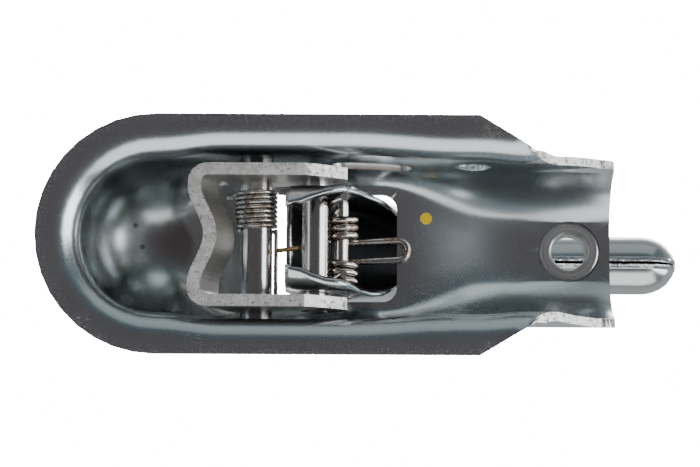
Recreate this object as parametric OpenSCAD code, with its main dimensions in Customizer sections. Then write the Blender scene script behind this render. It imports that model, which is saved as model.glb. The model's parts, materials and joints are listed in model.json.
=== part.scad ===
// Ball coupling head for a trailer drawbar: a pressed body, a sprung jaw and a lever.
// Origin at the ball's centre, +X towards the drawbar, +Z up.

/* [Ball and tube] */
// Diameter of the tow ball
ball_d = 50; // [48:0.5:52]
// Gap between the ball and the socket
ball_gap = 0.4; // [0.2:0.1:0.8]
// Diameter of the round drawbar tube
tube_d = 50; // [48:0.5:51]
// Gap between the tube and the channel
tube_gap = 0.5; // [0.3:0.1:0.8]

/* [Body] */
// Thickness of the pressed sheet
sheet = 3; // [2.5:0.1:3.5]
// Full width over the bottom flange
flange_w = 79.4; // [78:0.2:82]
// Depth of the flange's underside below the ball's centre
flange_drop = 16; // [15:0.5:18]
// Inside radius between the flange and the wall
flange_r = 9.5; // [8.5:0.25:9.5]
// Distance from the ball's centre to the rear end
body_back = 153.4; // [150:0.2:160]
// Inside width of the pocket for the jaw
pocket_w = 54.6; // [54:0.2:56]
// Distance from the ball's centre to the full pocket
pocket_front = 22; // [20:0.5:24]
// Distance to the end of the full pocket
pocket_back = 64; // [62:0.5:66]
// Height of the flat crown's inside above the ball's centre
crown_h = 24; // [23.5:0.1:24.4]
// Half width of the flat crown
crown_half = 19; // [18.5:0.1:19.5]
// Drop of the crown's rounded shoulders
shoulder_h = 9; // [8:0.5:10]
// Height of the tube's axis above the ball's centre
tube_rise = 6; // [5:0.5:7]
// Distance to the start of the round tube channel
channel_front = 122; // [120:1:126]
// How far the channel's walls close in below the tube's axis
tube_tuck = 1; // [0.8:0.1:1.4]
// Half width of the flat strip along the channel
strip_half = 5; // [3:0.5:6]
// Distance to the flange's rear corner
flange_back = 106.5; // [104:0.5:108]
// Distance over which the flange is cut away
flange_cut = 18.5; // [17:0.5:20]
// Height of the wall's lower rim at the rear end, against the ball's centre
rim_z = 7; // [5:0.5:8]
// Radius of the wall's lower rear corner
rim_corner = 5; // [3:0.5:6]

/* [Body openings] */
// Front edge of the window for the lever
window_front = 28; // [27:0.5:29]
// Rear edge of the window
window_back = 80; // [79:0.5:82]
// Width of the window
window_w = 37; // [37:0.5:38]
// Corner radius of the window
window_r = 5; // [3:0.5:6]
// Distance to the cross bolt hole
cross_x = 105.2; // [104:0.2:107]
// Diameter of the cross bolt hole
cross_d = 12.5; // [12:0.1:13]
// Distance to the middle of the side slot
slot_x = 71.5; // [70:0.5:73]
// Height of the slot's middle
slot_z = 13.75; // [13:0.25:14]
// Full length of the side slot
slot_l = 27; // [24:0.5:28]
// Height of the side slot
slot_h = 9.5; // [8:0.5:10]

/* [Threaded bush] */
// Distance to the bush for the upright bolt
bush_x = 139.5; // [137:0.5:141]
// Outer diameter of the bush
bush_d = 21; // [20:0.5:22]
// Bore of the bush
bush_bore = 12; // [11.5:0.1:12.5]
// Height of the bush
bush_h = 11; // [10:0.5:13]
// How far the bush stands below the crown's inside
bush_drop = 0.5; // [0.4:0.1:0.8]
// Width of the chamfer at the bush's ends
bush_chamfer = 1; // [0.8:0.1:1.2]

/* [Pivot pin] */
// Distance to the pin that the jaw swings on
pivot_x = 32.4; // [32:0.1:33]
// Height of that pin
pivot_z = 8.5; // [8:0.1:9]
// Diameter of that pin
pivot_d = 11; // [10.6:0.1:11.2]
// Diameter of the heads formed at its ends
pivot_head_d = 16; // [15:0.5:18]
// Height of those heads
pivot_head_t = 2; // [1.5:0.25:2.5]
// Running clearance of a pin in its hole, on the radius
pin_play = 0.05; // [0.03:0.01:0.08]

/* [Jaw] */
// Thickness of the jaw's sheet
jaw_t = 4; // [3.6:0.1:4.2]
// Full width over the jaw's arms
jaw_w = 47.6; // [47:0.1:48]
// Distance to the web's front at its lower edge
jaw_front = 15.6; // [15:0.1:16]
// Depth of the jaw's lower edge below the ball's centre
jaw_drop = 13.4; // [13:0.1:14]
// Depth of the hollow in the web's middle
jaw_hollow = 4.8; // [4.4:0.1:5.2]
// Half width of that hollow
jaw_hollow_half = 16; // [15:0.5:17]
// Outer radius of the jaw's bends
jaw_bend_r = 6; // [5.5:0.25:7]
// Backward tilt of the web in degrees
jaw_tilt = 22; // [20:0.5:23]
// Height of the web's upper edge against the ball's centre
jaw_web_top = 0; // [-1:0.25:1]
// Distance to the rear end of the arms
jaw_back = 63; // [62:0.5:63.5]
// Where the arms' lower edge turns up
jaw_heel = 49; // [48:0.5:50]

/* [Jaw spring] */
// Wire of the jaw's spring
jaw_wire = 1.5; // [1.3:0.05:1.52]
// Distance between its turns
jaw_pitch = 1.56; // [1.54:0.01:1.6]
// Full turns of the jaw's spring
jaw_turns = 8; // [6:1:8]
// Gap between the pin and the spring
jaw_coil_gap = 0.35; // [0.3:0.05:0.5]
// Where the jaw's spring starts, against the middle
jaw_coil_y = -3.8; // [-4.2:0.1:-3.6]

/* [Lever hinge] */
// Distance to the lever's hinge pin
hinge_x = 52.2; // [52:0.1:52.5]
// Height of the hinge pin
hinge_z = 4; // [3.8:0.1:4.2]
// Diameter of the hinge pin
hinge_d = 8.8; // [8.4:0.1:8.9]

/* [Lever] */
// Thickness of the lever's sheet
lever_t = 2; // [1.8:0.1:2.2]
// Width over the lever's cheeks
lever_w = 35; // [34.5:0.1:35.6]
// Distance to the lever's front edge
lever_front = 42.4; // [42.3:0.1:42.8]
// Diameter of the rolled grip
grip_d = 21; // [19:0.5:22]
// Height of the grip's axis
grip_z = 72; // [70:0.5:74]
// Distance to the start of the straight grip
grip_front = 116; // [114:1:120]
// Distance to the end of the grip
grip_back = 179.9; // [178:0.1:184]
// Depth of the cheeks' lower rim below the ball's centre
rim_drop = 12.5; // [12:0.1:12.8]

/* [Spring pin] */
// Distance to the pin of the lever's spring
spring_pin_x = 60.5; // [60.2:0.1:60.8]
// Height of that pin
spring_pin_z = 16; // [15.8:0.1:16.2]
// Diameter of that pin
spring_pin_d = 6.2; // [5.8:0.1:6.4]

/* [Lever spring] */
// Wire of the lever's spring
lever_wire = 2.4; // [2.2:0.05:2.5]
// Distance between its turns
lever_pitch = 2.7; // [2.68:0.01:2.74]
// Full turns of the coil on the left
turns_left = 3; // [2:1:3]
// Full turns of the coil on the right
turns_right = 3; // [2:1:3]
// How far the left coil stands in from its leg
coil_shift = 4; // [3.5:0.25:4.5]
// Gap between the spring and its pin
lever_coil_gap = 1; // [0.8:0.1:1.2]
// How far the spring's loop reaches behind the window
loop_reach = 4.8; // [4:0.2:6]

/* [Wire clip] */
// Wire of the clip between the two pins
clip_wire = 1.6; // [1.4:0.1:1.7]
// Place of the clip across the head
clip_y = 3; // [2.6:0.2:3.4]

/* [Hidden] */
$fn = 64;
over = 10;             // overrun of every cut
tiny = 0.01;           // length of a side that is all but closed
face_gap = 0.1;        // clearance of a piece that bears on a face
rivet_t = 0.4;         // height of a riveted end
leg_gap = 0.3;         // clearance of the lever spring's legs at the hinge pin
ball_r = ball_d / 2 + ball_gap;
tube_r = tube_d / 2 + tube_gap;
pocket_half = pocket_w / 2;
flange_half = flange_w / 2;
jaw_half = jaw_w / 2;
lever_half = lever_w / 2;
window_half = window_w / 2;
grip_r = grip_d / 2;
wall_foot = flange_r - flange_drop;      // height where the wall meets the flange's curve
narrow_back_share = 0.62;                // of the way from the pocket to the channel
strip_narrow = 108;                      // where the flat strip reaches its least width

// Blends
function smooth(x, a, b) = let (t = min(1, max(0, (x - a) / (b - a)))) t * t * (3 - 2 * t);
function mix(a, b, t) = a + (b - a) * t;
function spread(a, b, n) = [for (i = [0:n - 1]) a + (b - a) * i / n];
function unit(v) = v / norm(v);
function tri(a, b, c, d) = [[a, b, c], [a, c, d]];
function flat_list(l) = [for (a = l) for (b = a) b];

// Body: half widths and heights along its length
narrow_back = mix(pocket_back, channel_front, narrow_back_share);
function half_in(x) = mix(mix(ball_r, pocket_half, smooth(x, 0, pocket_front)), tube_r,
    smooth(x, pocket_back, narrow_back));
function crown(x) = mix(mix(ball_r, crown_h, smooth(x, 0, pocket_front)), tube_rise + tube_r,
    smooth(x, window_back, channel_front));
function flat_half(x) = mix(crown_half * smooth(x, 0, pocket_front), strip_half,
    smooth(x, window_back - window_r, strip_narrow));
function shoulder(x) = mix(mix(ball_r, shoulder_h, smooth(x, 0, pocket_front)), tube_r,
    smooth(x, window_back, channel_front));
function tuck(x) = tube_tuck * smooth(x, flange_back, channel_front);

// Half section of the pressing, from the crown's middle out to the flange's edge,
// as [across, height, across normal, height normal]
arc_steps = 12;
flat_steps = 2;
wall_steps = 3;
curve_steps = 6;
flat_cos = cos(90 - 90 * flat_steps / arc_steps);
function crown_points(x) = [for (k = [0:arc_steps])
    let (a = 90 - 90 * k / arc_steps, f = flat_half(x), w = half_in(x) - f, h = shoulder(x),
        n = unit([cos(a) * h, sin(a) * w]))
    [w * cos(a) + f * min(1, cos(a) / flat_cos), crown(x) - h * (1 - sin(a)), n[0], n[1]]];
function wall_points(x) = [for (k = [1:wall_steps])
    let (s = k / wall_steps, top = crown(x) - shoulder(x))
    [half_in(x) - tuck(x) * s * s, mix(top, wall_foot, s), 1, 0]];
function curve_points(x) = [for (k = [1:curve_steps])
    let (a = 90 * k / curve_steps)
    [half_in(x) - tuck(x) + flange_r * (1 - cos(a)), wall_foot - flange_r * sin(a), cos(a), sin(a)]];
function half_section(x) = concat(crown_points(x), wall_points(x), curve_points(x),
    [[flange_half, -flange_drop, 0, 1]]);
last = arc_steps + wall_steps + curve_steps + 1;

stations = concat(spread(0, pocket_front, 6), spread(pocket_front, pocket_back, 5),
    spread(pocket_back, channel_front, 14), spread(channel_front, body_back, 3), [body_back]);
n_stations = len(stations);
sections = [for (x = stations) half_section(x)];
nose_steps = 18;
row = 2 * last + 1;
skin_size = n_stations * row + (nose_steps - 1) * last;

function skin_point(s, p) = [p[0] + s * sheet * p[2], p[1] + s * sheet * p[3]];
function skin(s) = concat(
    [for (i = [0:n_stations - 1]) for (k = [-last:last])
        let (q = skin_point(s, sections[i][abs(k)])) [stations[i], sign(k) * q[0], q[1]]],
    [for (j = [1:nose_steps - 1]) for (k = [1:last])
        let (q = skin_point(s, sections[0][k]), a = 90 + 180 * j / nose_steps)
        [q[0] * cos(a), q[0] * sin(a), q[1]]]);
function at(s, i, k) = s * skin_size + i * row + k + last;
function nose_at(s, j, k) = k == 0 || j == 0 ? at(s, 0, k) : j == nose_steps ? at(s, 0, -k)
    : s * skin_size + n_stations * row + (j - 1) * last + k - 1;
body_faces = concat(
    flat_list([for (i = [0:n_stations - 2]) for (k = [-last:last - 1])
        concat(tri(at(1, i, k), at(1, i, k + 1), at(1, i + 1, k + 1), at(1, i + 1, k)),
            tri(at(0, i, k), at(0, i + 1, k), at(0, i + 1, k + 1), at(0, i, k + 1)))]),
    flat_list([for (j = [0:nose_steps - 1]) for (k = [1:last - 1])
        concat(tri(nose_at(1, j, k), nose_at(1, j + 1, k), nose_at(1, j + 1, k + 1),
                nose_at(1, j, k + 1)),
            tri(nose_at(0, j, k), nose_at(0, j, k + 1), nose_at(0, j + 1, k + 1),
                nose_at(0, j + 1, k)))]),
    flat_list([for (j = [0:nose_steps - 1])
        concat([[at(1, 0, 0), nose_at(1, j + 1, 1), nose_at(1, j, 1)],
                [at(0, 0, 0), nose_at(0, j, 1), nose_at(0, j + 1, 1)]],
            tri(nose_at(1, j, last), nose_at(1, j + 1, last), nose_at(0, j + 1, last),
                nose_at(0, j, last)))]),
    flat_list([for (i = [0:n_stations - 2])
        concat(tri(at(1, i + 1, last), at(1, i, last), at(0, i, last), at(0, i + 1, last)),
            tri(at(1, i, -last), at(1, i + 1, -last), at(0, i + 1, -last), at(0, i, -last)))]),
    flat_list([for (k = [-last:last - 1])
        tri(at(1, n_stations - 1, k), at(1, n_stations - 1, k + 1),
            at(0, n_stations - 1, k + 1), at(0, n_stations - 1, k))]));

cut_back = flange_back + flange_cut;
module flange_cuts() {
    clear_half = tube_r + sheet + face_gap;
    for (side = [-1, 1])
        translate([0, 0, -flange_drop - over])
            linear_extrude(2 * over + flange_drop)
                polygon([[flange_back, side * (flange_half + face_gap)],
                    [flange_back, side * (flange_half + over)],
                    [body_back + over, side * (flange_half + over)],
                    [body_back + over, side * clear_half], [cut_back, side * clear_half]]);
    rotate([90, 0, 0])
        linear_extrude(2 * (flange_half + over), center = true)
            polygon(concat([[cut_back, -flange_drop - over], [cut_back, sheet - flange_drop]],
                [for (a = [0:15:90])
                    [body_back - rim_corner * (1 - sin(a)), rim_z + rim_corner * (1 - cos(a))]],
                [[body_back + over, rim_z + rim_corner], [body_back + over, -flange_drop - over]]));
}

module window_cut() {
    low = crown_h - shoulder_h;
    translate([0, 0, low])
        linear_extrude(ball_d) {
            translate([window_front + window_r, -window_half])
                square([window_back - window_front - 2 * window_r, window_w]);
            translate([window_front, window_r - window_half])
                square([window_back - window_front, window_w - 2 * window_r]);
            for (x = [window_front + window_r, window_back - window_r], side = [-1, 1])
                translate([x, side * (window_half - window_r)]) circle(window_r);
        }
}

module side_slot_cut() {
    for (x = [slot_x - slot_l / 2 + slot_h / 2, slot_x + slot_l / 2 - slot_h / 2])
        translate([x, -flange_half, slot_z]) rotate([-90, 0, 0]) cylinder(d = slot_h, h = flange_half / 2);
    translate([slot_x - slot_l / 2 + slot_h / 2, -flange_half, slot_z - slot_h / 2])
        cube([slot_l - slot_h, flange_half / 2, slot_h]);
}

module cross_pin(x, z, d, length) {
    translate([x, 0, z]) rotate([90, 0, 0]) cylinder(d = d, h = length, center = true);
}

module body() {
    color([0.72, 0.75, 0.77])
        difference() {
            polyhedron(points = concat(skin(0), skin(1)), faces = body_faces, convexity = 8);
            flange_cuts();
            window_cut();
            side_slot_cut();
            cross_pin(cross_x, tube_rise, cross_d, flange_w + over);
            cross_pin(pivot_x, pivot_z, pivot_d + 2 * pin_play, flange_w + over);
            translate([bush_x, 0, tube_rise]) cylinder(d = bush_d, h = ball_d);
        }
}

// Bush for the upright bolt, set in the crown
module threaded_bush() {
    low = tube_rise + tube_r - bush_drop;
    r = bush_d / 2;
    bore = bush_bore / 2;
    color([0.78, 0.8, 0.8])
        translate([bush_x, 0, low])
            rotate_extrude()
                polygon([[bore + bush_chamfer, 0], [r - bush_chamfer, 0], [r, bush_chamfer],
                    [r, bush_h - bush_chamfer], [r - bush_chamfer, bush_h], [bore + bush_chamfer, bush_h],
                    [bore, bush_h - bush_chamfer], [bore, bush_chamfer]]);
}

// Round parts that lie across the head, drawn from y_low to y_high
module across(x, z, y_low, y_high, d) {
    translate([x, y_low, z]) rotate([-90, 0, 0]) cylinder(d = d, h = y_high - y_low);
}

// Pin across the head, with a low head formed at each end once it is in place
module riveted_pin(x, z, d, out, head_d, head_t) {
    across(x, z, -out - head_t, out + head_t, d);
    for (side = [-1, 1])
        translate([x, side * out, z])
            rotate([-90 * side, 0, 0]) cylinder(d1 = head_d, d2 = (d + head_d) / 2, h = head_t);
}

module pivot_pin() {
    color([0.7, 0.7, 0.7])
        riveted_pin(pivot_x, pivot_z, pivot_d, pocket_half + sheet, pivot_head_d, pivot_head_t);
}

// Jaw: a U bent from sheet, its web hollow towards the ball and tilted back
web_side = jaw_half - jaw_bend_r;
function web_front(y) = jaw_front - jaw_hollow * smooth(abs(y), 0, jaw_hollow_half);
function web_slope(y) = (web_front(y + tiny) - web_front(y - tiny)) / (2 * tiny);
bend_x = web_front(web_side) + jaw_bend_r;
web_steps = 12;
bend_steps = 8;
function reversed(v) = [for (i = [len(v) - 1:-1:0]) v[i]];
function arm_and_bend(r, side) = concat([[bend_x + ball_d + over, side * (web_side + r)]],
    [for (i = [0:bend_steps]) let (a = 90 * i / bend_steps)
        [bend_x - r * sin(a), side * (web_side + r * cos(a))]]);
function plan_edge(r, web) = concat(arm_and_bend(r, 1), web, reversed(arm_and_bend(r, -1)));
module jaw_plan() {
    web_y = [for (i = [web_steps - 1:-1:1 - web_steps]) web_side * i / web_steps];
    polygon(concat(plan_edge(jaw_bend_r, [for (y = web_y) [web_front(y), y]]),
        reversed(plan_edge(jaw_bend_r - jaw_t,
            [for (y = web_y) [web_front(y) + jaw_t * sqrt(1 + pow(web_slope(y), 2)), y]]))));
}
pivot_boss_share = 1.8;
hinge_boss_share = 1.75;
heel_steps = 5;
module jaw_outline() {
    heel = [for (i = [0:heel_steps]) let (s = i / heel_steps)
        [mix(jaw_heel, jaw_back, s), -jaw_drop * (1 - 0.8 * pow(s, 1.2))]];
    polygon(concat([[0, -jaw_drop]], heel, [[jaw_back, hinge_z],
        [hinge_x + hinge_d / 2, hinge_z + hinge_d * hinge_boss_share / 3],
        [hinge_x, hinge_z + hinge_d * hinge_boss_share / 2],
        [pivot_x + pivot_d / 2, pivot_z + pivot_d * pivot_boss_share / 2.6],
        [pivot_x - pivot_d / 2, pivot_z + pivot_d * pivot_boss_share / 2.6],
        [jaw_front + jaw_t, jaw_web_top], [0, jaw_web_top]]));
    translate([pivot_x, pivot_z]) circle(d = pivot_d * pivot_boss_share);
    translate([hinge_x, hinge_z]) circle(d = hinge_d * hinge_boss_share);
}
module jaw() {
    color([0.8, 0.8, 0.78])
        difference() {
            intersection() {
                translate([jaw_front, 0, -jaw_drop])
                    rotate([0, jaw_tilt, 0])
                        translate([-jaw_front, 0, -over]) linear_extrude(ball_d + over) jaw_plan();
                rotate([90, 0, 0]) linear_extrude(jaw_w + over, center = true) jaw_outline();
            }
            translate([0, jaw_t - jaw_half, jaw_web_top]) cube([ball_d, jaw_w - 2 * jaw_t, ball_d]);
            cross_pin(pivot_x, pivot_z, pivot_d + 2 * pin_play, jaw_w + over);
            cross_pin(hinge_x, hinge_z, hinge_d + 2 * pin_play, jaw_w + over);
        }
}

module hinge_pin() {
    color([0.75, 0.75, 0.75])
        riveted_pin(hinge_x, hinge_z, hinge_d, jaw_half, hinge_d + 2 * rivet_t, rivet_t);
}

// Wire: a tube swept along points
function tangents(p) = [for (i = [0:len(p) - 1]) unit(p[min(i + 1, len(p) - 1)] - p[max(i - 1, 0)])];
function normals(t, n0) = [for (i = 0, n = unit(n0 - (n0 * t[0]) * t[0]); i < len(t);
    i = i + 1, n = i < len(t) ? unit(n - (n * t[i]) * t[i]) : n) n];
module wire(p, d, sides, start) {
    t = tangents(p);
    n = normals(t, start);
    last_ring = (len(p) - 1) * sides;
    polyhedron(
        points = [for (i = [0:len(p) - 1]) for (a = [0:sides - 1])
            p[i] + d / 2 * (cos(360 * a / sides) * n[i] + sin(360 * a / sides) * cross(t[i], n[i]))],
        faces = concat(
            flat_list([for (i = [0:len(p) - 2]) for (a = [0:sides - 1])
                let (b = (a + 1) % sides)
                tri(i * sides + a, (i + 1) * sides + a, (i + 1) * sides + b, i * sides + b)]),
            [[for (a = [0:sides - 1]) a], [for (a = [sides - 1:-1:0]) last_ring + a]]),
        convexity = 8);
}
// Turns round an axis across the head, from angle a0 to a1 and from y0 to y1
function coil(x, z, r, a0, a1, y0, y1, steps) = [for (i = [0:steps])
    let (a = mix(a0, a1, i / steps)) [x + r * cos(a), mix(y0, y1, i / steps), z + r * sin(a)]];
function arc_xy(x, y, z, r, a0, a1, steps) = [for (i = [0:steps])
    let (a = mix(a0, a1, i / steps)) [x + r * cos(a), y + r * sin(a), z]];

jaw_coil_r = pivot_d / 2 + jaw_coil_gap + jaw_wire / 2;
jaw_spring_turns = jaw_turns + 0.5;
jaw_steps = 12;
wire_sides = 6;
leg_seat = 80;         // how far below level the clip bears on the spring's end, in degrees
pin_seat = 20;         // how far below level it bears on the hinge pin, in degrees
clip_steps = 4;
module jaw_spring() {
    y_end = jaw_coil_y - jaw_spring_turns * jaw_pitch;
    arm_in = jaw_half - jaw_t;
    bend = 2 * jaw_wire;
    turn = jaw_spring_turns * 360;
    crown_touch = crown_h - jaw_wire / 2 - face_gap;
    leg = [for (y = [arm_in - jaw_wire, jaw_coil_y + 2 * bend, jaw_coil_y + bend])
        [pivot_x + jaw_coil_r, y, pivot_z]];
    color([0.6, 0.55, 0.48])
        wire(concat(leg, coil(pivot_x, pivot_z, jaw_coil_r, 0, 90 + turn - 180, jaw_coil_y, y_end,
                round(jaw_spring_turns * jaw_steps)),
            [[pivot_x - jaw_coil_r, y_end, pivot_z + jaw_coil_r],
                [window_front - 2 * bend, y_end, crown_touch]]),
            jaw_wire, wire_sides, [1, 0, 0]);
}

// Wire between the jaw spring's straight end and the hinge pin, bearing on both
module pin_clip() {
    r = clip_wire / 2 + face_gap;
    on_leg = jaw_wire / 2 + r;
    on_pin = hinge_d / 2 + r;
    from = [pivot_x + jaw_coil_r + on_leg * cos(leg_seat), pivot_z - on_leg * sin(leg_seat)];
    to = [hinge_x - on_pin * cos(pin_seat), hinge_z - on_pin * sin(pin_seat)];
    color([0.6, 0.5, 0.25])
        wire([for (i = [0:clip_steps]) let (s = i / clip_steps) [mix(from[0], to[0], s),
            clip_y - clip_wire * s * s / 4, mix(from[1], to[1], s)]], clip_wire, wire_sides, [0, 1, 0]);
}

// Lever: one sheet pressed to a deep open section and rolled to a round grip.
// Each row of the table is one section, all of it in shares: place from the front edge to the grip,
// half width, top, cheek's foot, corner radius, rim radius, rim angle in degrees and rim length.
grip_top = grip_z + grip_r;
seam_a = 87;
lever_run = grip_front - lever_front;
lever_h = grip_top + rim_drop;
function lever_z(share) = lever_h * share - rim_drop;
lever_shares = [
    [0, 0.97, 0.27, 0.085, 0.48, 0.76, 75, 0.1], [0.03, 0.99, 0.32, 0.085, 0.48, 0.76, 73, 0.1],
    [0.07, 1, 0.375, 0.085, 0.48, 0.76, 68, 0.13], [0.12, 1, 0.42, 0.085, 0.48, 0.76, 48, 0.21],
    [0.18, 1, 0.47, 0.085, 0.48, 0.76, 25, 0.32], [0.25, 1, 0.52, 0.085, 0.52, 0.76, 10, 0.53],
    [0.3, 1, 0.56, 0.125, 0.57, 0.76, 6, 0.38], [0.34, 1, 0.6, 0.21, 0.57, 0.76, 4, 0.14],
    [0.39, 0.99, 0.64, 0.31, 0.62, 0.76, 4, 0.08], [0.44, 0.96, 0.685, 0.385, 0.67, 0.76, 10, 0.08],
    [0.49, 0.92, 0.72, 0.47, 0.67, 0.76, 34, 0.08], [0.55, 0.86, 0.77, 0.53, 0.71, 0.76, 60, 0.11],
    [0.63, 0.78, 0.825, 0.605, 0.76, 0.76, 78, 0.23], [0.73, 0.69, 0.89, 0.69, 0.82, 0.76, 84, 0.23],
    [0.86, 0.62, 0.96, 0.8, 0.9, 0.86, 86, 0.1]];
body_rows = [for (q = lever_shares) [lever_front + lever_run * q[0], lever_half * q[1], lever_z(q[2]),
    lever_z(q[3]), grip_r * q[4], grip_r * q[5], q[6], grip_r * q[7]]];
function grip_row(x, r) = [x, r, grip_z + r, grip_z, r, r, seam_a, tiny];
tip_run = 12;          // length of the grip's rounded end
tip_steps = 5;
tip_share = 0.93;      // how far the rounding closes the end
grip_rows = concat([for (x = spread(grip_front, grip_back - tip_run, 3)) grip_row(x, grip_r)],
    [for (i = [0:tip_steps]) let (s = i / tip_steps)
        grip_row(grip_back - tip_run * (1 - s), grip_r * sqrt(1 - pow(tip_share * s, 2)))]);
rows = concat(body_rows, grip_rows);
n_rows = len(rows);
corner_steps = 8;
rim_steps = 6;
function slope(i) = let (a = rows[max(i - 1, 0)], b = rows[min(i + 1, n_rows - 1)])
    min(2, max(0, (b[2] - a[2]) / (b[0] - a[0])));
// Half section of the lever from the web's middle to the rim, as [across, height, normal, normal, thickness]
function lever_half_section(i) =
    let (q = rows[i], w = q[1], c = min(q[4], q[1]), tw = lever_t * sqrt(1 + pow(slope(i), 2)))
    concat([[0, q[2], 0, 1, tw]],
        [for (k = [0:corner_steps]) let (a = 90 - 90 * k / corner_steps)
            [max(w - c, 0.02 * w) + min(c, 0.98 * w) * cos(a), q[2] - c + c * sin(a), cos(a), sin(a),
                mix(tw, lever_t, k / corner_steps)]],
        [for (k = [0:rim_steps]) let (a = -q[6] * k / rim_steps)
            [w - q[5] + q[5] * cos(a), min(q[3], q[2] - c - tiny) + q[5] * sin(a), cos(a), sin(a), lever_t]],
        [let (a = -q[6])
            [w - q[5] + q[5] * cos(a) + q[7] * sin(a),
                min(q[3], q[2] - c - tiny) + q[5] * sin(a) - q[7] * cos(a), cos(a), sin(a), lever_t]]);
half_n = corner_steps + rim_steps + 3;
ring_n = 2 * (2 * half_n + 1);
function lever_ring(i) = let (h = lever_half_section(i), x = rows[i][0]) concat(
    [for (k = [-half_n:half_n]) [x, sign(k) * h[abs(k)][0], h[abs(k)][1]]],
    [for (k = [half_n:-1:-half_n]) let (p = h[abs(k)])
        [x, sign(k) * (p[0] - p[4] * p[2]), p[1] - p[4] * p[3]]]);
module lever() {
    rings = [for (i = [0:n_rows - 1]) lever_ring(i)];
    end = (n_rows - 1) * ring_n;
    color([0.74, 0.75, 0.76])
        difference() {
            polyhedron(points = flat_list(rings), faces = concat(
                flat_list([for (i = [0:n_rows - 2]) for (a = [0:ring_n - 1])
                    let (b = (a + 1) % ring_n)
                    tri(i * ring_n + a, i * ring_n + b, (i + 1) * ring_n + b, (i + 1) * ring_n + a)]),
                flat_list([for (a = [0:ring_n / 2 - 2])
                    concat(tri(a, ring_n - 1 - a, ring_n - 2 - a, a + 1),
                        tri(end + a, end + a + 1, end + ring_n - 2 - a, end + ring_n - 1 - a))])),
                convexity = 10);
            cross_pin(hinge_x, hinge_z, hinge_d + 2 * pin_play, lever_w + over);
            cross_pin(spring_pin_x, spring_pin_z, spring_pin_d, lever_w + over);
        }
}

// Weld that closes the grip's end: a plug with a low domed cap
module lever_weld() {
    r = grip_r * sqrt(1 - pow(tip_share, 2)) - lever_t;
    cap = r + lever_t / 2;
    color([0.6, 0.6, 0.58])
        translate([grip_back, 0, grip_z]) rotate([0, 90, 0])
            rotate_extrude()
                polygon([[0, -lever_t], [r, -lever_t], [r, 0], [cap, 0], [0.85 * cap, cap / 5],
                    [0.5 * cap, cap / 3], [0, 0.4 * cap]]);
}

// Pin of the lever's spring, riveted close to the cheeks so that it passes the window
module spring_pin() {
    color([0.75, 0.75, 0.75])
        riveted_pin(spring_pin_x, spring_pin_z, spring_pin_d, lever_half, spring_pin_d + 2 * rivet_t,
            rivet_t);
}

// Lever spring: two coils on one wire, a loop between them that bears under the crown,
// and two legs that bear on the hinge pin
lever_coil_r = spring_pin_d / 2 + lever_coil_gap + lever_wire / 2;
lever_coil_steps = 14;
leg_end_z = -rim_drop + lever_wire / 2;
module lever_spring() {
    y_out = lever_half - lever_t - lever_wire / 2 - face_gap;
    coil_left = coil_shift - y_out;
    y_left = coil_left + (turns_left + 0.25) * lever_pitch;
    y_right = y_out - (turns_right + 0.25) * lever_pitch;
    loop_r = (y_right - y_left) / 2;
    tip_y = (y_right + y_left) / 2 - lever_wire / 2;
    tip_z = crown_h - lever_wire / 2 - face_gap - shoulder_h / 18;
    top_z = spring_pin_z + lever_coil_r;
    tip_x = window_back + loop_reach - lever_wire / 2;
    touch = [hinge_x + hinge_d / 2 + lever_wire / 2 + leg_gap, hinge_z];
    reach = [spring_pin_x, spring_pin_z] - touch;
    swing = asin(lever_coil_r / norm(reach)) + atan2(reach[1], reach[0]);
    run = [cos(swing), sin(swing)];
    drop = (hinge_z - leg_end_z) / run[1];
    foot = touch - drop * run;
    a_leg = swing + 90;
    foot_y = y_out - lever_wire / 2;
    left = concat([[foot[0], -foot_y, foot[1]], [touch[0], -y_out, touch[1]]],
        coil(spring_pin_x, spring_pin_z, lever_coil_r, a_leg, 90 - 360 * turns_left, coil_left, y_left,
            round(turns_left * lever_coil_steps)));
    right = concat([[foot[0], foot_y, foot[1]], [touch[0], y_out, touch[1]]],
        coil(spring_pin_x, spring_pin_z, lever_coil_r, a_leg, 90 - 360 * turns_right, y_out, y_right,
            round(turns_right * lever_coil_steps)));
    color([0.55, 0.45, 0.35])
        wire(concat(left, arc_xy(tip_x - loop_r, tip_y, tip_z, loop_r, -90, 90, 8),
            [for (i = [len(right) - 1:-1:0]) right[i]]), lever_wire, wire_sides + 2, [0, 1, 0]);
}

body();
threaded_bush();
pivot_pin();
jaw();
jaw_spring();
hinge_pin();
pin_clip();
lever();
lever_weld();
spring_pin();
lever_spring();
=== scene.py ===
"""Looks of a trailer coupling head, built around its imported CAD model.

The photograph looks up at the underside: +X runs to the right of the picture, +Y down it and
+Z away from the camera. Lengths are in metres, but for the places of marks and of faces, which
are in millimetres.
"""

import json
import math

import bpy
from mathutils import Matrix, Vector

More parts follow.
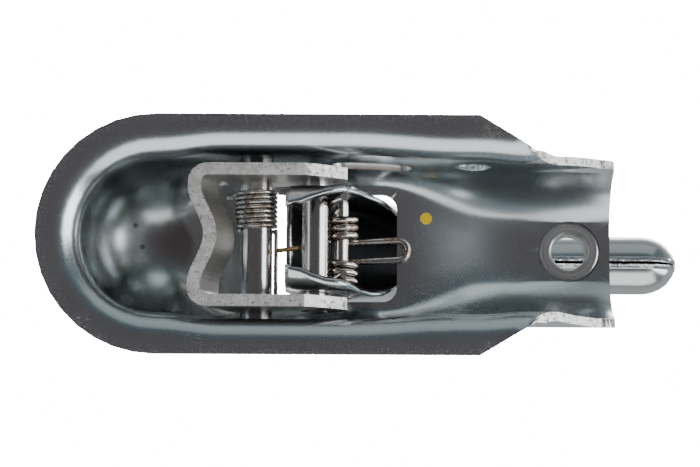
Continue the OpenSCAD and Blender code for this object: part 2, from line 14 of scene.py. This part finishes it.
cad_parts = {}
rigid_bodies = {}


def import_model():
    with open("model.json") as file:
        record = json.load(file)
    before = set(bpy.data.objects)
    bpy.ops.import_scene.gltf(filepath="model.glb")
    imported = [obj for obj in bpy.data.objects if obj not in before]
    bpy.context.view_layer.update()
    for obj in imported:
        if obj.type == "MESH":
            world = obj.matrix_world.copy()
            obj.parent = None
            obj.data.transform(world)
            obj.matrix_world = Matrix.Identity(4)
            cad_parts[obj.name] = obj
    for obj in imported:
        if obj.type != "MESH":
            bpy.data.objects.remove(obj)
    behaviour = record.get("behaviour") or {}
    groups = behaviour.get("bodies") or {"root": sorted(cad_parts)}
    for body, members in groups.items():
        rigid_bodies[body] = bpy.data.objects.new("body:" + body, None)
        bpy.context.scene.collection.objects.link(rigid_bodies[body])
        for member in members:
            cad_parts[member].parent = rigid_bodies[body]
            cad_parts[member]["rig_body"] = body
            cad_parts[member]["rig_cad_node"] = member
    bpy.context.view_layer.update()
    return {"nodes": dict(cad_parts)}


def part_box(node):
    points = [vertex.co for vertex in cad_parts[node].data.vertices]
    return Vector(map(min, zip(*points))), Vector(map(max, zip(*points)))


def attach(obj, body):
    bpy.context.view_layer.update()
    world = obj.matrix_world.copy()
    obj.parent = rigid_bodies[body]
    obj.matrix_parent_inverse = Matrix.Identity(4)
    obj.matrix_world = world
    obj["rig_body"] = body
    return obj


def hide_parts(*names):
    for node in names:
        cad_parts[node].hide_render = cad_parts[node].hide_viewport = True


MM = 0.001

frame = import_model()


# ---------------------------------------------------------------- shader maths


class Field:
    """A socket that takes part in Python sums, each sum adding its Math node."""

    def __init__(self, finish, socket):
        self.finish = finish
        self.socket = socket

    def _sum(self, operation, *values):
        return self.finish.node("ShaderNodeMath", {"operation": operation}, dict(enumerate(values)))

    def __add__(self, other):
        return self._sum("ADD", self, other)

    def __sub__(self, other):
        return self._sum("SUBTRACT", self, other)

    def __rsub__(self, other):
        return self._sum("SUBTRACT", other, self)

    def __mul__(self, other):
        return self._sum("MULTIPLY", self, other)

    def __pow__(self, other):
        return self._sum("POWER", self, other)

    def highest(self, other):
        return self._sum("MAXIMUM", self, other)

    def lowest(self, other):
        return self._sum("MINIMUM", self, other)

    def size(self):
        return self._sum("ABSOLUTE", self)

    def wave(self):
        return self._sum("SINE", self)

    __radd__ = __add__
    __rmul__ = __mul__


class Finish:
    """A material whose nodes are written as expressions."""

    def __init__(self, name):
        self.material = bpy.data.materials.new(name)
        self.material.use_nodes = True
        self.tree = self.material.node_tree
        self.tree.nodes.clear()
        self.place = self.node("ShaderNodeTexCoord", out="Object")
        parts = self.node("ShaderNodeSeparateXYZ", inputs={0: self.place}, out=None)
        self.x, self.y, self.z = (Field(self, socket) for socket in parts.outputs)

    def node(self, kind, settings=None, inputs=None, out=0):
        """Adds a node, and gives one output as a Field, or the node itself where out is None."""
        made = self.tree.nodes.new(kind)
        for key, value in (settings or {}).items():
            setattr(made, key, value)
        for key, value in (inputs or {}).items():
            if isinstance(value, Field):
                self.tree.links.new(value.socket, made.inputs[key])
            else:
                made.inputs[key].default_value = value
        return made if out is None else Field(self, made.outputs[out])

    def vector(self, operation, *values, out=0):
        return self.node("ShaderNodeVectorMath", {"operation": operation}, dict(enumerate(values)), out)

    def noise(self, scale, detail=4.0, rough=0.55, place=None):
        """Cloudy pattern from 0 to 1; scale is in cells for each metre."""
        return self.node("ShaderNodeTexNoise", {}, {"Vector": place or self.place, "Scale": scale,
            "Detail": detail, "Roughness": rough})

    def stretched(self, across, turn=(0.0, 0.0, 0.0)):
        """Object coordinates with each axis scaled, for streaks along one way."""
        return self.node("ShaderNodeMapping", {}, {"Vector": self.place, "Scale": across, "Rotation": turn})

    def step(self, value, low, high):
        """0 at low, 1 at high, soft between; low may be above high."""
        return self.node("ShaderNodeMapRange", {"interpolation_type": "SMOOTHSTEP"},
            {"Value": value, "From Min": low, "From Max": high})

    def near(self, spot, reach, soft):
        """1 within reach of a spot, 0 beyond reach + soft, all in millimetres."""
        gap = self.vector("DISTANCE", self.place, tuple(c * MM for c in spot), out="Value")
        return 1 - self.step(gap, reach * MM, reach * MM + soft * MM)

    def any_near(self, marks):
        """The highest of several spots, each given as place, reach and softness."""
        first, *rest = (self.near(*mark) for mark in marks)
        for other in rest:
            first = first.highest(other)
        return first

    def blend(self, share, first, second):
        """Colour that goes from first to second as share goes from 0 to 1."""
        made = self.node("ShaderNodeMix", {"data_type": "RGBA"}, out=None)
        for socket, value in zip((made.inputs[0], made.inputs[6], made.inputs[7]), (share, first, second)):
            if isinstance(value, Field):
                self.tree.links.new(value.socket, socket)
            else:
                socket.default_value = (*value, 1.0) if isinstance(value, tuple) else value
        return Field(self, made.outputs[2])

    def metal(self, shade, rough, height=None, depth=0.0, metallic=1.0):
        """Ends the material: shade and roughness may vary, and height raises the surface by depth."""
        values = {"Base Color": shade if isinstance(shade, Field) else (*shade, 1.0),
            "Roughness": rough, "Metallic": metallic}
        if height is not None:
            values["Normal"] = self.node("ShaderNodeBump", {},
                {"Height": height, "Distance": depth, "Strength": 1.0})
        surface = self.node("ShaderNodeBsdfPrincipled", {}, values)
        self.node("ShaderNodeOutputMaterial", {}, {"Surface": surface}, out=None)
        return self.material


# ---------------------------------------------------------------- finishes

# Marks on the body's sheet, each as place, reach and softness in millimetres
SOCKET_INSIDE = ((0.0, 0.0, 0.0), 26.4, 0.8)
SOCKET_SHADOW = ((5.5, -2.5, 25.0), 2.0, 12.0)
SPECKS = (((-7.1, -0.1, 24.4), 0.5, 0.8), ((-9.5, -7.3, 22.4), 0.4, 0.8))
SCUFFS = (((-24.0, 28.5, -16.0), 1.0, 5.0), ((13.0, 34.5, -16.0), 1.5, 4.0),
    ((21.0, 33.0, -16.0), 0.5, 2.0), ((89.0, 16.0, 22.0), 3.0, 6.0))
FLANGE_RUST = (((110.0, 38.5, -16.0), 1.0, 3.5), ((110.5, -34.5, -15.0), 1.0, 3.0))
SLOT_RUST = ((72.0, -29.0, 11.5), 12.5, 4.0)
SLOT_MIDDLE_Z = 11.0
PAINT_DOT = ((89.9, -10.5, 25.0), 1.9, 0.25)
NICK = ((-27.6, -10.4, -13.0), 0.2, 0.7)

# Bluish white of the plating's crystals, also used for the painted glint along the flange's rim
CRYSTAL_AND_GLINT_WHITE = (0.90, 0.95, 1.0)
SHADOW_BROWN = (0.20, 0.15, 0.13)
SPECK_BLACK = (0.10, 0.08, 0.07)
SCRATCH_WHITE = (0.92, 0.91, 0.90)
DEEP_RUST = (0.17, 0.09, 0.05)
PAINT_YELLOW = (0.80, 0.56, 0.01)
SHEET_STAIN = (0.30, 0.24, 0.20)
EDGE_STAIN = (0.30, 0.26, 0.22)


def zinc(name, shade, rough, stain=SHEET_STAIN, stain_share=0.25, worn=None, metallic=1.0):
    """Bright zinc plating with soft clouds, a fine grain and faint brown stains."""
    f = Finish(name)
    cloud = f.noise(34.0, 3.0)
    grain = f.noise(2600.0, 2.0, 0.6)
    stained = f.step(f.noise(28.0, 6.0, 0.65), 0.56, 0.76) * stain_share
    darker = tuple(0.86 * c for c in shade)
    colour = f.blend(stained, f.blend(cloud, darker, shade), stain)
    height = grain * 0.004
    if worn:
        colour, height, metallic = worn(f, colour, height, metallic)
    return f.metal(colour, rough + 0.1 * (grain - 0.5) + 0.05 * (cloud - 0.5), height, MM, metallic)


def body_wear(f, colour, height, metallic):
    """Marks on the pressed sheet: grain of the plating, rust, scratches and a dot of yellow paint, with a
    painted glint along the flange's rim and a painted shadow in the socket.
    """
    # The plating's crystals, which show most on the flange's round end: faintly all over, and along the outer
    # rim as a painted glint of bluish white
    crystals = f.step(f.noise(1900.0, 4.0, 0.7), 0.48, 0.66)
    low = f.step(f.z, -11.0 * MM, -15.0 * MM)
    ahead = f.x.lowest(0.0)
    reach = (ahead * ahead + f.y * f.y) ** 0.5
    rim_glint = low * f.step(reach, 34.0 * MM, 39.5 * MM)
    colour = f.blend(crystals * (0.12 + 0.5 * rim_glint), colour, CRYSTAL_AND_GLINT_WHITE)
    # A brown shadow and two specks in the socket
    colour = f.blend(0.6 * f.near(*SOCKET_INSIDE) * f.near(*SOCKET_SHADOW), colour, SHADOW_BROWN)
    colour = f.blend(0.7 * f.any_near(SPECKS), colour, SPECK_BLACK)
    # Scratches
    scratch = f.noise(1.0, 2.0, 0.5, f.stretched((500.0, 3500.0, 500.0), (0.0, 0.0, 0.6)))
    scratched = f.step(scratch, 0.60, 0.66) * f.any_near(SCUFFS)
    colour = f.blend(scratched, colour, SCRATCH_WHITE)
    # Rust at the flange's rear corners and along the slot
    along_slot = f.near(*SLOT_RUST) * f.step((f.z - SLOT_MIDDLE_Z * MM).size(), 3.6 * MM, 2.6 * MM)
    rust = (f.any_near(FLANGE_RUST) * f.step(f.noise(700.0, 5.0, 0.65), 0.46, 0.62)).highest(
        along_slot * f.step(f.noise(420.0, 5.0, 0.65), 0.24, 0.46))
    colour = f.blend(0.9 * rust, colour, DEEP_RUST)
    # Paint, which isn't metallic, and a nick in the rim
    paint_dot = f.near(*PAINT_DOT)
    colour = f.blend(paint_dot, colour, PAINT_YELLOW)
    height = height + crystals * (0.004 * low + 0.014 * rim_glint)
    height = height + 0.01 * scratched + 0.02 * paint_dot + 0.02 * rust - 0.2 * f.near(*NICK)
    return colour, height, metallic - paint_dot.highest(0.6 * rust)


def edge_wear(f, colour, height, metallic):
    """Pits and tool marks of the cut edges."""
    pit = f.step(f.noise(700.0, 5.0, 0.75), 0.55, 0.62)
    dull = f.step(f.noise(330.0, 5.0, 0.75), 0.42, 0.60)
    score = f.noise(1.0, 3.0, 0.6, f.stretched((900.0, 200.0, 900.0), (0.0, 0.0, 0.1)))
    colour = f.blend(0.6 * dull, colour, (0.50, 0.48, 0.46))
    colour = f.blend(0.75 * pit, colour, (0.16, 0.13, 0.11))
    return colour, height - 0.09 * pit + 0.12 * score, metallic


BUSH_BORE_R = 6.1 * MM
THREAD_PITCH = 1.6 * MM


def bush_wear(f, colour, height, metallic):
    """Turned rings on the bush's face and a thread in its bore."""
    low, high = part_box("threaded_bush")
    axis = ((low.x + high.x) / 2, (low.y + high.y) / 2, 0.0)
    from_axis = f.vector("MULTIPLY", f.vector("SUBTRACT", f.place, axis), (1.0, 1.0, 0.0))
    radius = f.vector("LENGTH", from_axis, out="Value")
    bore = 1 - f.step(radius, BUSH_BORE_R, BUSH_BORE_R + 0.2 * MM)
    turned = f.noise(1.0, 3.0, 0.6, f.node("ShaderNodeCombineXYZ", {}, {0: radius * 2500.0}))
    dull = f.step(turned, 0.40, 0.60)
    colour = f.blend(0.7 * dull, colour, (0.30, 0.30, 0.30))
    thread = bore * (f.z * (2 * math.pi / THREAD_PITCH)).wave()
    return colour, height + 0.08 * turned + 0.3 * thread, metallic


def lever_wear(f, colour, height, metallic):
    """Rough beads along the grip's seam and rust spots at the rim."""
    grip = f.step(f.x, 117.0 * MM, 120.0 * MM) * f.step(f.z, 68.0 * MM, 64.0 * MM)
    seam = grip * f.step(f.y.size(), 2.2 * MM, 0.9 * MM)
    bead = f.noise(380.0, 3.0, 0.6)
    rust = f.step(f.noise(240.0, 6.0, 0.7), 0.66, 0.74) * f.step(f.z, 30.0 * MM, 0.0)
    colour = f.blend(0.8 * rust, colour, (0.26, 0.16, 0.10))
    return colour, height + 1.6 * seam * bead + 0.02 * rust, metallic


def pin_wear(f, colour, height, metallic):
    """Painted shade on the ends outside the jaw's arms, where they lie in the narrow gaps by the walls, and
    faint brown smears where the springs rub.
    """
    # Dark painted shade on the pins' ends outside the jaw's arms
    ends = f.step(f.y.size(), 23.0 * MM, 24.0 * MM)
    smear = f.step(f.noise(190.0, 5.0, 0.6, f.stretched((1.0, 0.5, 1.0))), 0.55, 0.70)
    colour = f.blend(0.35 * smear, colour, (0.36, 0.24, 0.15))
    return f.blend(0.75 * ends, colour, (0.10, 0.10, 0.10)), height + 0.004 * smear, metallic


def rusty_wire(name, shade, rust, rust_share):
    """Drawn wire with brown rust in patches."""
    f = Finish(name)
    patch = f.step(f.noise(260.0, 5.0, 0.65), 0.62 - 0.3 * rust_share, 0.78 - 0.3 * rust_share)
    fine = f.noise(2200.0, 3.0)
    return f.metal(f.blend(patch, shade, rust), 0.22 + 0.25 * patch, 0.004 * fine + 0.01 * patch, MM)


sheet_zinc = zinc("body sheet", (0.58, 0.63, 0.65), 0.25, worn=body_wear)
sheet_edge = zinc("body cut edges", (0.74, 0.75, 0.75), 0.40, EDGE_STAIN, 0.3, edge_wear, 0.75)
window_edge = zinc("window cut edges", (0.22, 0.22, 0.22), 0.55)
lever_zinc = zinc("lever sheet", (0.62, 0.64, 0.65), 0.22, worn=lever_wear)
# The lever's hollow gets a near-black painted shade in place of the shadow inside it
lever_hollow_shade = zinc("lever hollow painted shade", (0.055, 0.056, 0.060), 0.50)
jaw_face = zinc("jaw faces", (0.50, 0.49, 0.47), 0.38)
jaw_edge = zinc("jaw cut edges", (0.95, 0.94, 0.92), 0.40, EDGE_STAIN, 0.3, edge_wear, 0.5)
pin_zinc = zinc("pin", (0.62, 0.61, 0.60), 0.18, worn=pin_wear)
bush_zinc = zinc("bush", (0.78, 0.79, 0.79), 0.33, worn=bush_wear, metallic=0.9)
weld_steel = zinc("weld", (0.55, 0.54, 0.52), 0.40)
jaw_wire = rusty_wire("jaw spring wire", (0.60, 0.58, 0.55), (0.26, 0.19, 0.14), 0.45)
lever_wire = rusty_wire("lever spring wire", (0.58, 0.54, 0.50), (0.28, 0.19, 0.13), 0.45)
clip_wire = rusty_wire("clip wire", (0.60, 0.45, 0.20), (0.30, 0.19, 0.08), 0.3)


# ---------------------------------------------------------------- pieces


def only(piece):
    """Makes a piece the one thing that is selected and active."""
    bpy.ops.object.select_all(action="DESELECT")
    piece.select_set(True)
    bpy.context.view_layer.objects.active = piece


def paint(piece, material):
    piece.data.materials.clear()
    piece.data.materials.append(material)
    return piece


def smooth_copy(node, name, sharp=30.0):
    """A merged copy of a CAD node, smooth but for its sharp edges, that stands for the node."""
    piece = frame["nodes"][node].copy()
    piece.data = piece.data.copy()
    piece.name = name
    piece.parent = None
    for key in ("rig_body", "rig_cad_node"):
        if key in piece:
            del piece[key]
    bpy.context.scene.collection.objects.link(piece)
    only(piece)
    bpy.ops.object.mode_set(mode="EDIT")
    bpy.ops.mesh.select_all(action="SELECT")
    bpy.ops.mesh.remove_doubles(threshold=0.002 * MM)
    bpy.ops.object.mode_set(mode="OBJECT")
    bpy.ops.object.shade_smooth_by_angle(angle=math.radians(sharp))
    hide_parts(node)
    return piece


def soften(piece, width, sharp=40.0):
    """Rounds a piece's sharp edges a little, as plating and handling do."""
    only(piece)
    bevel = piece.modifiers.new("soft edges", "BEVEL")
    bevel.width, bevel.segments = width, 2
    bevel.limit_method, bevel.angle_limit = "ANGLE", math.radians(sharp)
    bevel.use_clamp_overlap = True
    bpy.ops.object.modifier_apply(modifier=bevel.name)
    bpy.ops.object.shade_smooth_by_angle(angle=math.radians(sharp))
    return piece


FINISHES = {
    "threaded_bush": (bush_zinc, "plated_bush"), "pivot_pin": (pin_zinc, "plated_pin"),
    "hinge_pin": (pin_zinc, "plated_pin"), "lever_weld": (weld_steel, "weld_steel"),
    "spring_pin": (pin_zinc, "plated_pin"),
}
for node, (material, record_slot) in FINISHES.items():
    paint(frame["nodes"][node], material)

# The body's cut edges, in millimetres: its flange's rim, its rear end and its window
RIM_TOP = -12.9
REAR_TOP, SLANT_FRONT, CHANNEL_RIM_FRONT = 13.0, 106.6, 126.0
WINDOW_X, WINDOW_HALF, WINDOW_LOW = (27.0, 81.0), 18.7, 14.0


def body_material(face):
    """1 on the flange's rim and the rear end, 2 round the window, else 0."""
    x, y, z = face.center / MM
    along_x, _, upward = face.normal
    if z < RIM_TOP and abs(upward) < 0.1:
        return 1
    if z < REAR_TOP and (x > SLANT_FRONT and along_x > 0.25 or x > CHANNEL_RIM_FRONT and upward < -0.35):
        return 1
    in_window = WINDOW_X[0] < x < WINDOW_X[1] and abs(y) < WINDOW_HALF and z > WINDOW_LOW
    return 2 if in_window and abs(upward) < 0.3 else 0


body = paint(smooth_copy("body", "pressed_body"), sheet_zinc)
body.data.materials.append(sheet_edge)
body.data.materials.append(window_edge)
for face in body.data.polygons:
    face.material_index = body_material(face)
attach(body, "housing")

# The middle of the lever's section, as X and Z in millimetres, and where its hollow starts
LEVER_AXIS = ((42.0, 4.0), (48.0, 9.0), (61.0, 16.0), (71.0, 33.0), (83.0, 49.0), (96.0, 62.0),
    (106.0, 70.0), (116.0, 72.0), (185.0, 72.0))
HOLLOW_FRONT = 44.0


def lever_axis_z(x):
    """Height of the middle of the lever's section."""
    x = min(max(x / MM, LEVER_AXIS[0][0]), LEVER_AXIS[-1][0])
    for (x_low, z_low), (x_high, z_high) in zip(LEVER_AXIS, LEVER_AXIS[1:]):
        if x <= x_high:
            return (z_low + (z_high - z_low) * (x - x_low) / (x_high - x_low)) * MM
    return LEVER_AXIS[-1][1] * MM


def lever_material(face):
    """1 inside the lever's hollow, where the plating has no light to shine with and gets a near-black painted
    shade, else 0.
    """
    inward = Vector((-face.center.y, lever_axis_z(face.center.x) - face.center.z)).normalized()
    faces_in = inward.x * face.normal.y + inward.y * face.normal.z > 0.15
    return 1 if faces_in and face.center.x > HOLLOW_FRONT * MM else 0


lever = paint(smooth_copy("lever", "pressed_lever", 60.0), lever_zinc)
lever.data.materials.append(lever_hollow_shade)
for face in lever.data.polygons:
    face.material_index = lever_material(face)
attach(lever, "lever")

# The jaw: scuffed bright edges where the sheet was cut, duller faces between them
jaw = paint(soften(smooth_copy("jaw", "bent_jaw"), 0.35 * MM), jaw_face)
jaw.data.materials.append(jaw_edge)
for face in jaw.data.polygons:
    face.material_index = 1 if face.normal.z < -0.6 else 0
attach(jaw, "jaw")


# ---------------------------------------------------------------- springs and clip


def round_wire(name, points, diameter, material, node, ride_on):
    """Drawn wire along a path of points, which stands for a CAD node."""
    path = bpy.data.curves.new(name, "CURVE")
    path.dimensions = "3D"
    line = path.splines.new("NURBS")
    line.points.add(len(points) - 1)
    for knot, (x, y, z) in zip(line.points, points):
        knot.co = (x, y, z, 1.0)
    line.order_u, line.use_endpoint_u, line.resolution_u = 3, True, 2
    path.bevel_depth, path.bevel_resolution, path.use_fill_caps = diameter / 2, 4, True
    wire = bpy.data.objects.new(name, path)
    bpy.context.scene.collection.objects.link(wire)
    only(wire)
    bpy.ops.object.convert(target="MESH")
    wire = bpy.context.object
    bpy.ops.object.shade_smooth_by_angle(angle=math.radians(50.0))
    paint(wire, material)
    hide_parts(node)
    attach(wire, ride_on)
    return wire


def mix(first, second, share):
    return first + (second - first) * share


def middle(node):
    """The axis of a pin that lies across the head, as X and Z."""
    low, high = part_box(node)
    return (low.x + high.x) / 2, (low.z + high.z) / 2


def turns(axis, radius, angles, across, steps):
    """Points of a coil round an axis across the head, its angles in degrees from +X up to +Z."""
    made = []
    for i in range(steps + 1):
        angle = math.radians(mix(*angles, i / steps))
        made.append((axis[0] + radius * math.cos(angle), mix(*across, i / steps),
            axis[1] + radius * math.sin(angle)))
    return made


PIVOT, HINGE, SPRING_PIN = middle("pivot_pin"), middle("hinge_pin"), middle("spring_pin")
PIVOT_D, HINGE_D, SPRING_PIN_D = 11.0 * MM, 8.8 * MM, 6.2 * MM
FACE_GAP = 0.1 * MM
TURN_STEPS = 30
CROWN_Z = 24.0 * MM

JAW_WIRE, JAW_PITCH, JAW_TURNS = 1.5 * MM, 1.56 * MM, 8.5
JAW_COIL_R = PIVOT_D / 2 + 0.35 * MM + JAW_WIRE / 2
JAW_COIL_Y = -3.8 * MM


def jaw_spring_path():
    """Straight end behind the pin, the coil, and the end that bears under the crown."""
    low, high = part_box("jaw_spring")
    behind = PIVOT[0] + JAW_COIL_R
    coil_end = JAW_COIL_Y - JAW_TURNS * JAW_PITCH
    straight = [(behind, mix(high.y, JAW_COIL_Y + 2 * JAW_WIRE, i / 4), PIVOT[1]) for i in range(5)]
    coil = turns(PIVOT, JAW_COIL_R, (0.0, 360.0 * JAW_TURNS - 90.0), (JAW_COIL_Y, coil_end),
        round(JAW_TURNS * TURN_STEPS))
    rising = [(PIVOT[0] - JAW_COIL_R, coil_end, PIVOT[1] + JAW_COIL_R),
        (low.x + JAW_WIRE / 2, coil_end, CROWN_Z - JAW_WIRE / 2 - FACE_GAP)]
    return straight + coil + rising


LEVER_WIRE, LEVER_PITCH, LEVER_TURNS = 2.4 * MM, 2.7 * MM, 3
LEVER_COIL_R = SPRING_PIN_D / 2 + 1.0 * MM + LEVER_WIRE / 2
LEFT_COIL_SHIFT = 4.0 * MM


def lever_spring_path():
    """Foot, coil, loop, coil and foot, as one wire."""
    low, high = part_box("lever_spring")
    out = high.y - LEVER_WIRE / 2
    coil_width = (LEVER_TURNS + 0.25) * LEVER_PITCH
    left_start = LEFT_COIL_SHIFT - out
    left_end = left_start + coil_width
    right_end = out - coil_width
    loop_r = (right_end - left_end) / 2
    loop_y = (right_end + left_end - LEVER_WIRE) / 2
    touch = Vector((HINGE[0] + HINGE_D / 2 + LEVER_WIRE / 2 + 3 * FACE_GAP, HINGE[1]))
    reach = Vector(SPRING_PIN) - touch
    swing = math.asin(LEVER_COIL_R / reach.length) + math.atan2(reach.y, reach.x)
    foot_z = low.z + LEVER_WIRE / 2
    foot_x = touch.x - (touch.y - foot_z) / math.tan(swing)
    loop_z = CROWN_Z - LEVER_WIRE / 2 - 6 * FACE_GAP
    halves = []
    for side, start, end in ((-1, left_start, left_end), (1, out, right_end)):
        foot = [(foot_x, side * (out - LEVER_WIRE / 2), foot_z), (touch.x, side * out, touch.y)]
        halves.append(foot + turns(SPRING_PIN, LEVER_COIL_R,
            (math.degrees(swing) + 90.0, 90.0 - 360.0 * LEVER_TURNS), (start, end), LEVER_TURNS * TURN_STEPS))
    loop_x = high.x - LEVER_WIRE / 2 - loop_r
    loop = [(loop_x + loop_r * math.cos(math.radians(a)), loop_y + loop_r * math.sin(math.radians(a)), loop_z)
        for a in range(-90, 91, 15)]
    return halves[0] + loop + halves[1][::-1]


CLIP_WIRE = 1.6 * MM
CLIP_BOW = 0.4 * MM


def clip_path():
    """Wire from the jaw's spring down to the hinge pin, bowed a little to one side."""
    low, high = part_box("pin_clip")
    half = CLIP_WIRE / 2
    return [(mix(low.x + half, high.x - half, s), high.y - half - CLIP_BOW * s * s,
        mix(high.z - half, low.z + half, s)) for s in (0.0, 0.25, 0.5, 0.75, 1.0)]


round_wire("coiled_jaw_spring", jaw_spring_path(), JAW_WIRE, jaw_wire, "jaw_spring", "jaw")
round_wire("looped_lever_spring", lever_spring_path(), LEVER_WIRE, lever_wire,
    "lever_spring", "lever")
round_wire("wire_clip", clip_path(), CLIP_WIRE, clip_wire, "pin_clip", "jaw")


# ---------------------------------------------------------------- stage, light and camera

FLOOR_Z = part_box("body")[0].z
FLOOR_SIZE = 3.0
MIDDLE = (0.06, 0.0, 0.0)


def pale_floor():
    """Pale floor, clear from below so that the photograph's view passes through it."""
    bpy.ops.object.select_all(action="DESELECT")
    bpy.ops.mesh.primitive_plane_add(size=FLOOR_SIZE, location=(MIDDLE[0], MIDDLE[1], FLOOR_Z - 0.2 * MM))
    floor = bpy.context.object
    floor.name = "floor"
    f = Finish("pale floor")
    pale = f.node("ShaderNodeBsdfDiffuse", {}, {"Color": (0.82, 0.82, 0.81, 1.0)})
    clear = f.node("ShaderNodeBsdfTransparent")
    below = f.node("ShaderNodeNewGeometry", out="Backfacing")
    mixed = f.node("ShaderNodeMixShader", {}, {0: below, 1: pale, 2: clear})
    f.node("ShaderNodeOutputMaterial", {}, {"Surface": mixed}, out=None)
    floor.data.materials.append(f.material)
    floor.visible_shadow = False
    floor.visible_glossy = False
    floor.visible_diffuse = False


def soft_light(name, place, width, height, power, shade=(1.0, 1.0, 1.0)):
    """Area light towards the head, which the camera doesn't see."""
    bpy.ops.object.select_all(action="DESELECT")
    bpy.ops.object.light_add(type="AREA", location=place)
    light = bpy.context.object
    light.name = name
    light.rotation_mode = "QUATERNION"
    light.rotation_quaternion = (Vector(MIDDLE) - Vector(place)).to_track_quat("-Z", "Y")
    light.data.shape = "RECTANGLE"
    light.data.size, light.data.size_y = width, height
    light.data.energy = power
    light.data.color = shade
    light.visible_camera = False


# Shades of the room from straight below (0) over level (0.5) to straight above (1)
ROOM_SHADES = ((0.0, (0.125, 0.104, 0.108)), (0.04, (0.115, 0.108, 0.114)), (0.15, (0.085, 0.130, 0.150)),
    (0.35, (0.13, 0.18, 0.20)), (0.5, (0.22, 0.25, 0.27)), (0.7, (0.55, 0.56, 0.57)))
CAMERA_WHITE = 30.0


def set_stops(ramp, stops):
    while len(ramp.elements) < len(stops):
        ramp.elements.new(1.0)
    for element, (place, shade) in zip(ramp.elements, stops):
        element.position = place
        element.color = (*shade, 1.0)


def surroundings():
    """White for the camera; for light and reflections a dark room below and a pale one above."""
    world = bpy.data.worlds.new("studio")
    bpy.context.scene.world = world
    world.use_nodes = True
    tree = world.node_tree
    tree.nodes.clear()
    rays = tree.nodes.new("ShaderNodeLightPath")
    white = tree.nodes.new("ShaderNodeBackground")
    white.inputs["Color"].default_value = (1.0, 1.0, 1.0, 1.0)
    white.inputs["Strength"].default_value = CAMERA_WHITE
    way = tree.nodes.new("ShaderNodeTexCoord")
    parts = tree.nodes.new("ShaderNodeSeparateXYZ")
    height = tree.nodes.new("ShaderNodeMapRange")
    height.inputs["From Min"].default_value = -1.0
    shades = tree.nodes.new("ShaderNodeValToRGB")
    set_stops(shades.color_ramp, ROOM_SHADES)
    room = tree.nodes.new("ShaderNodeBackground")
    mixed = tree.nodes.new("ShaderNodeMixShader")
    ends = tree.nodes.new("ShaderNodeOutputWorld")
    for start, end in (
            (way.outputs["Generated"], parts.inputs[0]), (parts.outputs["Z"], height.inputs["Value"]),
            (height.outputs[0], shades.inputs[0]), (shades.outputs[0], room.inputs["Color"]),
            (rays.outputs["Is Camera Ray"], mixed.inputs[0]), (room.outputs[0], mixed.inputs[1]),
            (white.outputs[0], mixed.inputs[2]), (mixed.outputs[0], ends.inputs["Surface"])):
        tree.links.new(start, end)


pale_floor()
surroundings()
soft_light("side light left", (-0.95, 0.0, -0.25), 0.8, 1.0, 3.0)
soft_light("side light right", (1.05, 0.1, -0.35), 0.7, 1.0, 11.0)
soft_light("side light far", (0.06, -1.0, -0.35), 1.8, 0.9, 1.8)
soft_light("side light near", (0.06, 0.9, -0.45), 1.8, 1.1, 11.0, (1.0, 0.98, 0.95))
soft_light("top light", (0.3, -0.4, 0.9), 0.9, 0.9, 14.0)

# The photograph's camera, 900 mm from the flange and leaning 7.2 degrees off the upright
PHOTO_WIDTH = 700
FOCAL_PIXELS = 2767.0
SENSOR_WIDTH = 36.0
CAMERA_PLACE = Vector((63.9, 114.3, -916.0)) * MM
LOOK = Vector((0.0, -0.127, 1.0)).normalized()
ROLL = math.radians(0.3)


def photo_camera():
    bpy.ops.object.select_all(action="DESELECT")
    bpy.ops.object.camera_add(location=CAMERA_PLACE)
    camera = bpy.context.object
    camera.data.sensor_width = SENSOR_WIDTH
    camera.data.lens = FOCAL_PIXELS / PHOTO_WIDTH * SENSOR_WIDTH
    right = Vector((1.0, 0.0, 0.0))
    up = LOOK.cross(right) * -1.0
    turn = Matrix((right, up, -LOOK)).transposed()
    camera.rotation_mode = "QUATERNION"
    camera.rotation_quaternion = (turn @ Matrix.Rotation(ROLL, 3, "Z")).to_quaternion()
    camera.data.clip_start, camera.data.clip_end = 0.01, 10.0
    bpy.context.scene.camera = camera


photo_camera()
